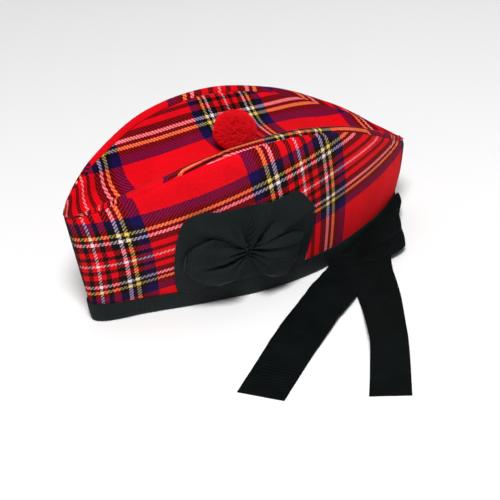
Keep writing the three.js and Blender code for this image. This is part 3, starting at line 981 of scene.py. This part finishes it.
# -------------------------------------------------------------------------- tails
# Middle line of each tail on the floor, its underside, its breadth as it lies, the
# way across it in degrees, and how far its two edges are tipped up.
TAIL_LEFT = [
    (65, -47, 7.5, 22, -80, 0, 0), (53, -63, 7.0, 26, -40, 0, 0), (40, -76, 4.6, 39, -16, 0, 1),
    (24, -86, 3.2, 42, -10, 1, 1), (8.6, -95.5, 3.0, 40, -14, 0, 1), (-16, -112.5, 3.0, 38, -29, 0, 0),
    (-45, -134, 1.6, 36, -37, 1, 0), (-82, -162, 0.6, 36, -37, 0, 0),
]
TAIL_RIGHT = [
    (80, -60, 7.0, 33, -76, 0, 0), (66, -85, 4.0, 34, -84, 1, 2), (51, -117, 3.0, 31, -62, 0, 3),
    (36, -145, 6.0, 29, -60, 2, 2), (24, -167, 7.0, 28, -57, 1, 1), (9, -190, 2.4, 29, -56, 0, 0),
    (-8, -215, 0.6, 30, -56, 0, 0),
]
TAIL_FLOOR = 0.45        # a tail keeps this far off the floor
WAVE, WAVE_LENGTH, WAVE_SEED = 0.6, 24, 3.0     # long soft waves of a tail
RUMPLE, RUMPLE_LENGTH = 0.25, 7                 # and small ones across it


def tail(name, node, rows, material):
    length = sum(math.dist(a[:2], b[:2]) for a, b in zip(rows, rows[1:]))

    def place(u, v):
        x, y, z, wide, heading, near, far = through(rows, u)
        heading = math.radians(heading)
        across = (0.5 - v) * wide
        z += near * smooth(1 - 2 * v) + far * smooth(2 * v - 1)
        z += crumple(x, y, (WAVE, WAVE_LENGTH, WAVE_SEED + wide), (RUMPLE, RUMPLE_LENGTH, v * 2))
        p = Vector((x + math.sin(heading) * across, y + math.cos(heading) * across, z))
        p.z = max(p.z, TAIL_FLOOR)
        return p, (u * length, (v - 0.5) * RIBBON_WIDTH)

    obj = make_object(grid(place, columns=150, rows=24), name, material)
    thicken(obj, TAIL_RIBBON)
    return place_piece(obj, node)


# ------------------------------------------------------------------------- toorie
TOORIE_SHIFT = Vector((-3.5, 0, -1.5)) * MM     # sewn a little forward, sunk in the nap
toorie_low, toorie_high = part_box("toorie")
TOORIE_MIDDLE = (toorie_low + toorie_high) / 2 + TOORIE_SHIFT
TOORIE_ACROSS, TOORIE_TALL = toorie_high.x - toorie_low.x, toorie_high.z - toorie_low.z
TOORIE_SHAPE = Vector((TOORIE_ACROSS, TOORIE_ACROSS, TOORIE_TALL)) / 2
CORE = 0.61              # share of the ball that its core takes
# Lumps of the core: height as a share of the ball, and how many there are across it.
LUMPS = [(0.05, 2.6), (0.03, 9.0)]
YARN = 0.62              # thickness of a cut end
YARN_TIP = 0.8           # share of it that is left at the tip
YARN_LENGTH = 5.6
YARN_LEAN = 0.5          # how far strands lean from upright
YARN_LEAST, YARN_MOST = 0.85, 1.1   # sizes of the strands


def strands(material):
    """Geometry nodes that stand a short tapered strand on every point of a ball."""
    tree = bpy.data.node_groups.new("cut_yarn", "GeometryNodeTree")
    tree.interface.new_socket("Geometry", in_out="INPUT", socket_type="NodeSocketGeometry")
    tree.interface.new_socket("Geometry", in_out="OUTPUT", socket_type="NodeSocketGeometry")
    ball = add(tree, "NodeGroupInput")
    strand = add(tree, "GeometryNodeMeshCone", None,
                 {"Vertices": 4, "Radius Top": YARN * YARN_TIP / 2 * MM,
                  "Radius Bottom": YARN / 2 * MM, "Depth": YARN_LENGTH * MM})
    lean = add(tree, "FunctionNodeRandomValue", {"data_type": "FLOAT_VECTOR"},
               {"Min": (-YARN_LEAN,) * 3, "Max": (YARN_LEAN,) * 3, "Seed": 3})
    way = add(tree, "ShaderNodeVectorMath", {"operation": "ADD"},
              {0: lean, 1: add(tree, "GeometryNodeInputNormal")})
    turned = add(tree, "FunctionNodeAlignRotationToVector", {"axis": "Z"}, {"Vector": way})
    size = add(tree, "FunctionNodeRandomValue", {"data_type": "FLOAT"},
               {2: YARN_LEAST, 3: YARN_MOST, "Seed": 8})
    stood = add(tree, "GeometryNodeInstanceOnPoints", None,
                {"Points": ball, "Instance": strand, "Rotation": turned,
                 "Scale": size.outputs[1]})
    real = add(tree, "GeometryNodeRealizeInstances", None, {"Geometry": stood})
    both = add(tree, "GeometryNodeJoinGeometry", None, {0: real})
    wire(tree, both, {0: ball})
    dyed = add(tree, "GeometryNodeSetMaterial", None, {"Geometry": both, "Material": material})
    add(tree, "NodeGroupOutput", None, {0: dyed})
    return tree


def toorie(name, node, material):
    """Ball of cut yarn: a core with thousands of short strands standing out of it."""
    bm = bmesh.new()
    bmesh.ops.create_icosphere(bm, subdivisions=6, radius=1.0)
    for vert in bm.verts:
        lump = CORE + sum(height * noise.noise(vert.co * count) for height, count in LUMPS)
        vert.co = TOORIE_MIDDLE + vert.co * TOORIE_SHAPE * lump
    obj = make_object(bm, name, material)
    obj.modifiers.new("yarn", "NODES").node_group = strands(material)
    return place_piece(obj, node)


# ----------------------------------------------------------------------- assembly
WALL_TARTAN = tartan("tartan_wool_side", 1)
CROWN_TARTAN = tartan("tartan_wool_crown", -1)
BLACK_RIBBON = grosgrain("rayon_grosgrain", "#070b0b", "#303c40", 0.10)
# The same black ribbon again, darker and less shiny: the shade that falls on the back of the hat is
# painted into it, for the bow and the tails.
RIBBON_PAINTED_SHADE = grosgrain("rayon_grosgrain_painted_shade", "#020504", "#1e282a", 0.05)
# the darker root colour is the painted shade at the roots of the strands
RED_YARN = pile_wool("red_wool_yarn", TOORIE_MIDDLE, "#e00612", "#fa1c2e")

left_side = side_panel("left_side_cloth", "side_left", -1, "seam_near", WALL_TARTAN)
right_side = side_panel("right_side_cloth", "side_right", 1, "seam_far", WALL_TARTAN)
crown_top = crown_panel("crown_cloth", "crown", CROWN_TARTAN)
band = binding_band("binding_ribbon", "binding", BLACK_RIBBON)
backing = cockade_backing("cockade_ribbon", "cockade_backing", BLACK_RIBBON)
front_loop = cockade_loop(
    "cockade_front_loop", "cockade_loop_front", LOOP_FRONT, CREASE_FRONT, BLACK_RIBBON)
rear_loop = cockade_loop(
    "cockade_rear_loop", "cockade_loop_rear", LOOP_REAR, CREASE_REAR, BLACK_RIBBON)
# the bow and the tails take the copy of the ribbon with the painted shade
bow = back_bow("back_bow_ribbon", "back_bow", RIBBON_PAINTED_SHADE)
left_tail = tail("left_tail_ribbon", "tail_left", TAIL_LEFT, RIBBON_PAINTED_SHADE)
right_tail = tail("right_tail_ribbon", "tail_right", TAIL_RIGHT, RIBBON_PAINTED_SHADE)
toorie("toorie_wool", "toorie", RED_YARN)

# -------------------------------------------------------------- camera and studio
# In metres and degrees from here on.
AZIMUTH, ELEVATION, CAMERA_ROLL = (math.radians(a) for a in (-27.4, 29.1, -5.1))
CAMERA_DISTANCE = 1.25
LOOKED_AT = HAT + Vector((0, 0, 0.05))
LENS = 114.5
SHIFT_ASIDE, SHIFT_UP = 0.0174, -0.0812
LIT_POINT = HAT + Vector((0, 0, 0.06))
# Soft lights: name, place from the hat, breadth, watts.
LIGHTS = [
    ("key", (-0.6, -1.25, 2.1), 0.7, 60),
    ("fill", (-1.2, -1.9, 1.0), 1.6, 2),
    ("top", (0.2, 0.4, 2.3), 1.6, 5),
]
ROOM_LIGHT = 0.20
FLOOR_HALF = 6.0
FLOOR_DOWN = 0.0002      # the floor lies this much under the lowest ribbon


def add_camera():
    toward = Vector((
        math.sin(AZIMUTH) * math.cos(ELEVATION),
        -math.cos(AZIMUTH) * math.cos(ELEVATION),
        math.sin(ELEVATION),
    ))
    lens = bpy.data.cameras.new("camera")
    lens.sensor_width = 36
    lens.lens = LENS
    lens.shift_x = SHIFT_ASIDE
    lens.shift_y = SHIFT_UP
    lens.clip_end = 50
    camera = bpy.data.objects.new("camera", lens)
    bpy.context.scene.collection.objects.link(camera)
    camera.location = LOOKED_AT + toward * CAMERA_DISTANCE
    turn = toward.to_track_quat("Z", "Y").to_matrix() @ Matrix.Rotation(CAMERA_ROLL, 3, "Z")
    camera.rotation_euler = turn.to_euler()
    bpy.context.scene.camera = camera


def add_floor():
    """A sheet of studio paper: nearly white and matt."""
    paper, tree, shader = new_material("studio_paper")
    wire(tree, shader, {"Base Color": linear("#fdfdfd"), "Roughness": 0.9})
    bm = bmesh.new()
    bmesh.ops.create_grid(bm, x_segments=1, y_segments=1, size=FLOOR_HALF)
    floor = make_object(bm, "floor", paper)
    floor.location.z = -FLOOR_DOWN


def add_lights():
    for name, place, breadth, watts in LIGHTS:
        light = bpy.data.lights.new(name, "AREA")
        light.shape = "DISK"
        light.size = breadth
        light.energy = watts
        obj = bpy.data.objects.new(name, light)
        bpy.context.scene.collection.objects.link(obj)
        obj.location = HAT + Vector(place)
        obj.rotation_euler = (LIT_POINT - obj.location).to_track_quat("-Z", "Y").to_euler()
    world = bpy.data.worlds.new("world")
    world.use_nodes = True
    wire(world.node_tree, world.node_tree.nodes["Background"],
         {"Color": (1, 1, 1, 1), "Strength": ROOM_LIGHT})
    bpy.context.scene.world = world


add_camera()
add_floor()
add_lights()
bpy.context.scene.view_settings.view_transform = "Standard"
